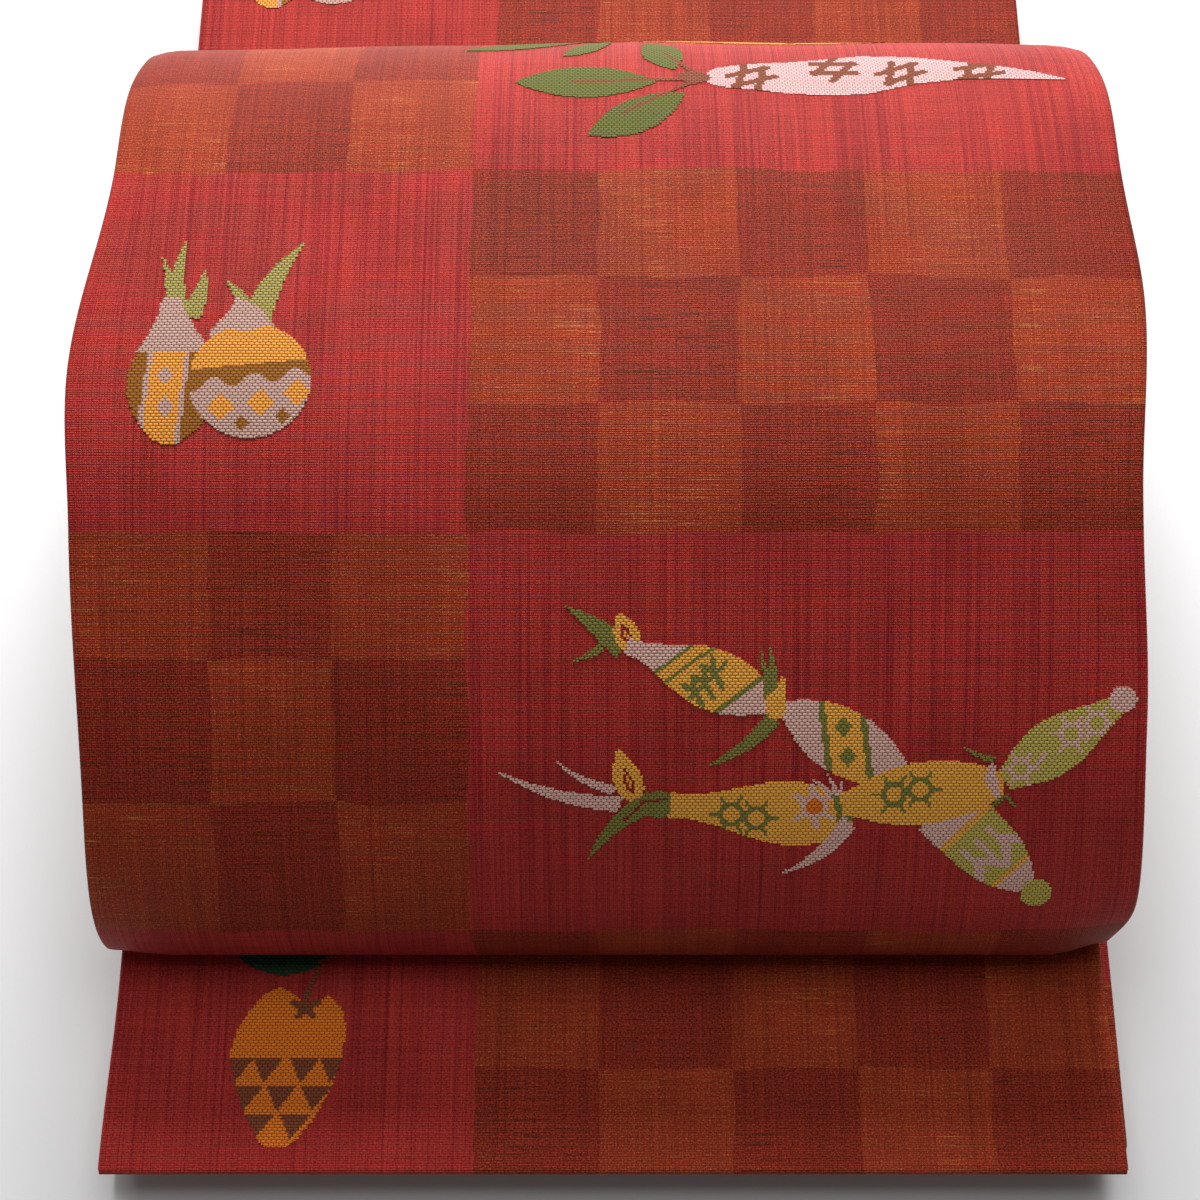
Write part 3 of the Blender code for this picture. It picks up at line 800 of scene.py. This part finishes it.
# The floats lie in a brick bond. A dye is a thread's colour and the colour in the gaps between its floats.
figure_floats, given, made = node_group("figure_floats", ["Flat"], ["Across", "Along"], ["Float", "Fray"])
tree = figure_floats
across, along_cloth, _ = axes(tree, given["Flat"])
pick = maths(tree, "DIVIDE", along_cloth, given["Along"])
shift = maths(tree, "MULTIPLY", maths(tree, "FLOORED_MODULO", maths(tree, "FLOOR", pick), 2.0), 0.5)
end = maths(tree, "ADD", maths(tree, "DIVIDE", across, given["Across"]), shift)
over = [maths(tree, "SINE", maths(tree, "MULTIPLY", maths(tree, "FRACT", v), math.pi)) for v in (pick, end)]
tree.links.new(maths(tree, "POWER", maths(tree, "MULTIPLY", *over), 0.55), made["Float"])
tree.links.new(noise(tree, given["Flat"], (0.9, 0.9, 0), 3, 0.6)[0], made["Fray"])

# The three dyes for the crossed roots that follow the orange are the gold, the mauve and the green made about
# 1.2 to 1.6 times as bright: a painted sheen, not other dyes.
DYES = {
    "gold": ((0.84, 0.345, 0.046), (0.22, 0.036, 0.012)),
    "mauve": ((0.56, 0.360, 0.290), (0.15, 0.030, 0.030)),
    "green": ((0.380, 0.330, 0.085), (0.090, 0.026, 0.010)),
    "olive": ((0.320, 0.120, 0.012), (0.110, 0.022, 0.006)),
    "white": ((0.70, 0.440, 0.430), (0.30, 0.080, 0.080)),
    "brown": ((0.230, 0.066, 0.026), (0.090, 0.012, 0.008)),
    "pine": ((0.026, 0.070, 0.034), (0.018, 0.022, 0.014)),
    "orange": ((0.86, 0.215, 0.016), (0.22, 0.030, 0.006)),
    "leaf": ((0.125, 0.140, 0.024), (0.050, 0.030, 0.008)),
    "gold_painted_sheen": ((1.00, 0.480, 0.070), (0.24, 0.040, 0.012)),
    "mauve_painted_sheen": ((0.86, 0.530, 0.440), (0.16, 0.034, 0.034)),
    "green_painted_sheen": ((0.620, 0.500, 0.110), (0.110, 0.040, 0.014)),
    "moss": ((0.240, 0.235, 0.050), (0.080, 0.034, 0.012)),
}
dyed = []
for dye_name, colours in DYES.items():
    material, tree, shader, flat = material_of("figure_" + dye_name, 0.58, 0.08)
    floats = placed_group(tree, figure_floats, Flat=flat, Across=2 * STEP_ACROSS, Along=1.5 * STEP_ALONG)
    colour = blended(tree, stretched(tree, floats["Float"], 0.22, 0.52), *colours[::-1])
    worn = blended(tree, stretched(tree, floats["Fray"], 0.3, 0.7), (0.82, 0.82, 0.82), (1.12, 1.12, 1.12))
    tree.links.new(blended(tree, 1.0, colour, worn, "MULTIPLY"), shader["Base Color"])
    tree.links.new(stretched(tree, floats["Fray"], 0.3, 0.7, 0.40, 0.60), shader["Roughness"])
    bumped(tree, shader, floats["Float"], 0.00016)
    dyed.append(material)


def figure_object(part, drawings):
    """The floats of several drawings on one piece, as one raised mesh of little cells, each with its dye."""
    points, flats, faces, dyes = [], [], [], []
    start = 0
    for draw, (x_low, x_high, s_low, s_high), along_shift, last_s in drawings:
        xs = np.arange(x_low, x_high + STEP_ACROSS, STEP_ACROSS)
        rows = np.arange(math.floor(s_low / STEP_ALONG), math.ceil(s_high / STEP_ALONG)) * STEP_ALONG
        middle_x, middle_s = np.meshgrid(xs[:-1] + STEP_ACROSS / 2, rows[:-1] + STEP_ALONG / 2)
        dye = draw(middle_x, middle_s)
        dye[middle_s + along_shift > last_s] = 0
        kept = np.pad(dye, 1)
        grid_x, grid_s = np.meshgrid(xs / 1000, (rows + along_shift) / 1000)
        index = start + np.arange(grid_x.size).reshape(grid_x.shape)
        under = grid_x.size
        start += 2 * under
        for depth in (CLOTH_T / 2 + FIGURE_RISE, CLOTH_T / 2 - FIGURE_ROOT):
            points.append(place(grid_x, grid_s, depth).reshape(-1, 3))
            flats.append(np.stack((grid_x, grid_s), axis=-1).reshape(-1, 2))
        for row, column in zip(*np.nonzero(dye)):
            a, b = index[row, column], index[row, column + 1]
            d, c = index[row + 1, column], index[row + 1, column + 1]
            sides = [(a, b, c, d), (d + under, c + under, b + under, a + under)]
            beside = ((kept[row, column + 1], a, b), (kept[row + 1, column + 2], b, c))
            beside += ((kept[row + 2, column + 1], c, d), (kept[row + 1, column], d, a))
            sides += [(q, p, p + under, q + under) for there, p, q in beside if not there]
            faces += sides
            dyes += [dye[row, column] - 1] * len(sides)
    points, flats = np.concatenate(points), np.concatenate(flats)
    used, renumbered = np.unique(np.array(faces), return_inverse=True)
    faces = renumbered.reshape(-1, 4).tolist()
    obj = finished_object(part + "_woven_figures", points[used], faces, flats[used], *dyed)
    obj.data.polygons.foreach_set("material_index", np.array(dyes, np.int32))
    follow(obj, part)


# Each drawing with its box on the flat cloth, how far along it is shifted, and where the piece ends.
onion_box, root_box = (-141, -86, 489, 555), (-36, 152, 352, 446)
daikon_box, carrot_box, fruit_box = (-32, 143, 590, 643), (-48, 106, 633, 676), (-119, -80, 6, 71)
PATTERN_REPEAT = 12 * ROW_PITCH * 1000
NEXT_FRUIT = 694
NO_END = 1e6
figure_object("drum", [
    (onions, onion_box, 0, NO_END), (crossed_roots, root_box, 0, NO_END), (white_root, daikon_box, 0, NO_END),
    (orange_root, carrot_box, -3.6, NO_END), (fruit, fruit_box, NEXT_FRUIT, NO_END)])
figure_object("tare", [(fruit, fruit_box, 0, NO_END)])
figure_object("strip", [(onions, onion_box, PATTERN_REPEAT, STATIONS["strip"][-1] * 1000)])

# The interlining: one stiff layer of unbleached cotton that lies loose inside the face cloth and gives it body.
# It stops short of the turned ends.
CORE_T = 0.0007
COTTON, tree, shader, flat = material_of("interlining_cotton", 0.9, 0.2)
weave = placed_group(tree, silk_weave, Flat=flat, Rib_Pitch=0.9, Warp_Pitch=0.9)
colour = blended(tree, stretched(tree, weave["Grain"], 0.3, 0.7), (0.60, 0.55, 0.46), (0.80, 0.76, 0.67))
tree.links.new(colour, shader["Base Color"])
bumped(tree, shader, weave["Height"], 0.00025)


def inner_layer(label, half, top, thickness, material):
    """A flat layer along the whole sash, of that half width, with its top so far above the sash's middle."""
    section = flat_section(half, top, top - thickness)
    for part in STATIONS:
        cut = (HEM_DEPTH if part == "tare" else 0, HEM_DEPTH if part == "rest" else 0)
        layer(part, label, section, material, cut=cut)


inner_layer("interlining", HALF_WIDTH - FACE_T - GAP, CLOTH_T / 2 - FACE_T - GAP, CORE_T, COTTON)

# The lining: plain wine-red silk on the back, slip-stitched to the turned edges of the face cloth. It lies
# between those edges and level with them.
LINING_T = 0.00055
THREAD_D = 0.0005
LINING, tree, shader, flat = material_of("lining_silk", 0.5, 0.4)
weave = placed_group(tree, silk_weave, Flat=flat, Rib_Pitch=0.55, Warp_Pitch=0.45)
streaks = stretched(tree, weave["Streak"], 0.35, 0.7)
colour = blended(tree, streaks, (0.31, 0.024, 0.030), (0.215, 0.014, 0.022))
colour = blended(tree, stretched(tree, weave["Slub"], 0.6, 0.8, 0.0, 0.5), colour, (0.40, 0.050, 0.050))
tree.links.new(colour, shader["Base Color"])
tree.links.new(stretched(tree, weave["Grain"], 0.3, 0.7, 0.42, 0.58), shader["Roughness"])
bumped(tree, shader, weave["Height"], 0.00012)
lining_half = HALF_WIDTH - TURNED_EDGE - GAP - THREAD_D - GAP
inner_layer("lining", lining_half, -CLOTH_T / 2 + LINING_T, LINING_T, LINING)

# The sewing threads: red silk, in slanting slip stitches 5 mm apart down both sides and along both turned ends.
# They hold the lining to the face cloth.
STITCH_PITCH = 0.005
THREAD, tree, shader, flat = material_of("seam_silk_thread", 0.45, 0.5)
across, along_cloth, _ = axes(tree, flat)
strand = wave_of(tree, maths(tree, "ADD", maths(tree, "MULTIPLY", across, 1.6), along_cloth), 0.6)
tree.links.new(blended(tree, strand, (0.30, 0.022, 0.024), (0.52, 0.060, 0.055)), shader["Base Color"])
bumped(tree, shader, strand, 0.00012)


def stitches(name, ends, part, seam):
    """Short threads between pairs of (x, s), which dive into the cloth at both ends and arch in between."""
    around = np.radians(np.arange(0, 360, 60))
    shares = np.array((0.0, 0.12, 0.5, 0.88, 1.0))[:, None]
    arch = np.array((-0.0001, 0.00022, 0.00030, 0.00022, -0.0001))[:, None]
    points, flats, faces = [], [], []
    for stitch, ((x0, s0), (x1, s1)) in enumerate(ends):
        length = math.hypot(x1 - x0, s1 - s0)
        across = ((s0 - s1) / length, (x1 - x0) / length)
        x = x0 + (x1 - x0) * shares + across[0] * THREAD_D / 2 * np.cos(around)
        s = s0 + (s1 - s0) * shares + across[1] * THREAD_D / 2 * np.cos(around)
        points.append(place(x, s, -CLOTH_T / 2 - arch + THREAD_D / 2 * np.sin(around)).reshape(-1, 3))
        flats.append(np.stack((x, s), axis=-1).reshape(-1, 2))
        index = stitch * x.size + np.arange(x.size).reshape(x.shape)
        faces += wrapped(index) + [index[0][::-1].tolist(), index[-1].tolist()]
    obj = finished_object(name, np.concatenate(points), faces, np.concatenate(flats), THREAD)
    follow(obj, part)
    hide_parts(*seam)


STITCH_ALONG = 0.0024
inner_x = lining_half - 0.0004
outer_x = HALF_WIDTH - TURNED_EDGE + 0.0008
for part, stations in STATIONS.items():
    first = stations[0] + (HEM_DEPTH if part == "tare" else 0.001)
    last = stations[-1] - (HEM_DEPTH if part == "rest" else 0.001)
    places = np.arange(first, last - 0.003, STITCH_PITCH)
    for label, side in (("left", -1), ("right", 1)):
        ends = [((side * inner_x, s), (side * outer_x, s + STITCH_ALONG)) for s in places]
        seam = [f"{body}_{label}_seam" for body in BODIES[part]]
        stitches(f"{part}_{label}_seam_stitches", ends, part, seam)
for label, part, edge, way in (("tare_end_hem", "tare", 0.0, 1), ("plain_end_hem", "rest", END_S, -1)):
    near, far = edge + way * (HEM_DEPTH - 0.0008), edge + way * (HEM_DEPTH + 0.0010)
    places = np.arange(-lining_half, lining_half - 0.003, STITCH_PITCH)
    stitches(label + "_stitches", [((x, near), (x + STITCH_ALONG, far)) for x in places], part, [label])

# The wadding roll: a sheet of cotton wadding rolled up tight, which keeps the drum round. Its ends show its
# turns. It lies on the drum's return and stays a little under the cloth that it carries.
roll_low, roll_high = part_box("wadding_roll")
ROLL_TURNS = 6.5
ROUNDING = 0.0165
END_DEPTH = 0.0045
SINK = 0.0009
ROLL_SIDES = 96
roll_y = (roll_low.y + roll_high.y) / 2
roll_z = (roll_low.z + roll_high.z) / 2 - SINK
roll_half_y = (roll_high.y - roll_low.y) / 2
roll_half_z = (roll_high.z - roll_low.z) / 2 - SINK
half_length = roll_high.x
angles = np.linspace(0, 2 * math.pi, ROLL_SIDES, endpoint=False)


def ring_at(x, outwards, share=1.0):
    """A ring round the roll's middle: share of the way to its skin, and that much further out."""
    y = roll_y + (roll_half_y + outwards) * share * np.cos(angles)
    z = roll_z + (roll_half_z + outwards) * share * np.sin(angles)
    return np.stack((np.broadcast_to(x, ROLL_SIDES), y, z), axis=-1)


def roll_ring(x, inwards, lumps):
    """A ring of the roll: its lumps only go inwards, so the roll keeps its size."""
    lumpy = 0.5 + 0.5 * np.sin(3 * angles + 40 * x) * np.cos(5 * angles - 61 * x)
    return ring_at(x, -(inwards + lumps * lumpy))


def tube(name, rings, joined, material):
    """Quads between rings that follow each other. joined closes a sleeve; otherwise both ends get a cap."""
    index = np.arange(len(rings) * ROLL_SIDES).reshape(len(rings), ROLL_SIDES)
    faces = wrapped(np.concatenate((index, index[:1])) if joined else index)
    if not joined:
        faces += [index[0][::-1].tolist(), index[-1].tolist()]
    points = np.concatenate(rings)
    turn = np.tile(angles * roll_half_y, len(rings))
    obj = finished_object(name, points, faces, np.stack((points[:, 0], turn), axis=-1), material)
    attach(obj, "drum")
    return obj


WADDING, tree, shader, flat = material_of("cotton_wadding", 0.95, 0.1)
fluff = noise(tree, flat, (0.25, 0.25, 0), 5, 0.65)[0]
colour = blended(tree, stretched(tree, fluff, 0.3, 0.7), (0.74, 0.70, 0.62), (0.88, 0.86, 0.81))
tree.links.new(colour, shader["Base Color"])
bumped(tree, shader, fluff, 0.0016)
roll_ends = []
for side in (-1, 1):
    rings = []
    for share in np.linspace(0.03, 1.0, 22):
        turn_place = (share * ROLL_TURNS - angles / (2 * math.pi) * side) % 1
        groove = 0.0032 * np.exp(-((np.minimum(turn_place, 1 - turn_place) / 0.15) ** 2))
        groove = groove * min(1, 6 * (1.02 - share))
        rings.append(ring_at(side * (half_length - groove - END_DEPTH * share**2), -ROUNDING, share))
    for a in np.radians(range(12, 91, 13)):
        x = side * (half_length - END_DEPTH - 0.020 * (1 - math.cos(a)) - 0.0005)
        rings.append(roll_ring(x, ROUNDING * (1 - math.sin(a)), 0.0004))
    roll_ends.append(rings)
middle = [roll_ring(x, 0, 0.0008) for x in np.linspace(-half_length + 0.032, half_length - 0.032, 30)]
roll = tube("wadding_roll_turns", roll_ends[0] + middle + roll_ends[1][::-1], False, WADDING)
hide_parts("wadding_roll")

# The gauze: one turn of open white cotton that holds the wadding together. It is 8 mm longer at each end, where
# it ruffles and draws in.
GAUZE_T = 0.0004
GAUZE, tree, shader, flat = material_of("cotton_gauze", 0.9, 0.15)
threads = [maths(tree, "POWER", wave_of(tree, out, 1.3), 0.6) for out in axes(tree, flat)[:2]]
mesh_of = maths(tree, "MAXIMUM", *threads)
tree.links.new(blended(tree, mesh_of, (0.60, 0.57, 0.51), (0.90, 0.89, 0.86)), shader["Base Color"])
bumped(tree, shader, mesh_of, 0.0004)
gauze_low, gauze_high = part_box("roll_gauze")
gauze_xs = np.linspace(gauze_low.x, gauze_high.x, 61)
gauze_rings = []
for skin, order in ((0.0, gauze_xs), (GAUZE_T, gauze_xs[::-1])):
    for x in order:
        loose = max(0.0, (abs(x) - half_length + 0.014) / 0.022)
        ruffle = 0.0013 * loose * (1 + np.sin(17 * angles + 3 * np.sin(2 * angles)))
        outwards = GAP + GAUZE_T - 0.00005 - skin - 0.0045 * loose**1.5
        gauze_rings.append(ring_at(x, outwards - ruffle))
gauze = tube("roll_gauze_sleeve", gauze_rings, True, GAUZE)
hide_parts("roll_gauze")

# The studio: a plain pale floor, a broad soft light from behind and above, a weaker one overhead, and a camera
# above the tare that looks down over the drum.
bpy.ops.mesh.primitive_plane_add(size=40, location=(0, 0, -0.0005))
floor = bpy.context.object
floor.name = "studio_floor"
floor_paint, tree, shader, flat = material_of("studio_floor_paint", 0.9, 0.5)
shader["Base Color"].default_value = (0.86, 0.86, 0.86, 1)
floor.data.materials.append(floor_paint)


def soft_light(name, location, target, size, power):
    data = bpy.data.lights.new(name, "AREA")
    data.shape = "RECTANGLE"
    data.size, data.size_y = size
    data.energy = power
    obj = bpy.data.objects.new(name, data)
    obj.location = location
    x, y, z = np.array(target) - np.array(location)
    obj.rotation_euler = (math.atan2(math.hypot(x, y), -z), 0, math.atan2(x, -y) + math.pi)
    bpy.context.scene.collection.objects.link(obj)


soft_light("key", (0.0, 1.68, 1.12), (0, 0, 0.06), (0.9, 0.6), 62)
soft_light("overhead", (0.0, 0.35, 1.6), (0, 0, 0.06), (1.4, 1.0), 11.5)
world = bpy.data.worlds.new("studio")
world.use_nodes = True
tree = world.node_tree
background = tree.nodes["Background"].inputs
background["Color"].default_value = (1, 1, 1, 1)
seen = tree.nodes.new("ShaderNodeLightPath").outputs["Is Camera Ray"]
tree.links.new(stretched(tree, seen, 0.0, 1.0, 0.10, 0.88), background["Strength"])
bpy.context.scene.world = world
bpy.context.scene.view_settings.view_transform = "Standard"

camera_data = bpy.data.cameras.new("camera")
camera_data.lens = 60.2
camera_data.sensor_width = 36
camera_data.clip_start = 0.01
camera = bpy.data.objects.new("camera", camera_data)
camera.location = (-0.0035, -0.2886, TARE_TOP_Z + 0.6217)
camera.rotation_euler = (math.radians(21.35), 0, 0)
bpy.context.scene.collection.objects.link(camera)
bpy.context.scene.camera = camera
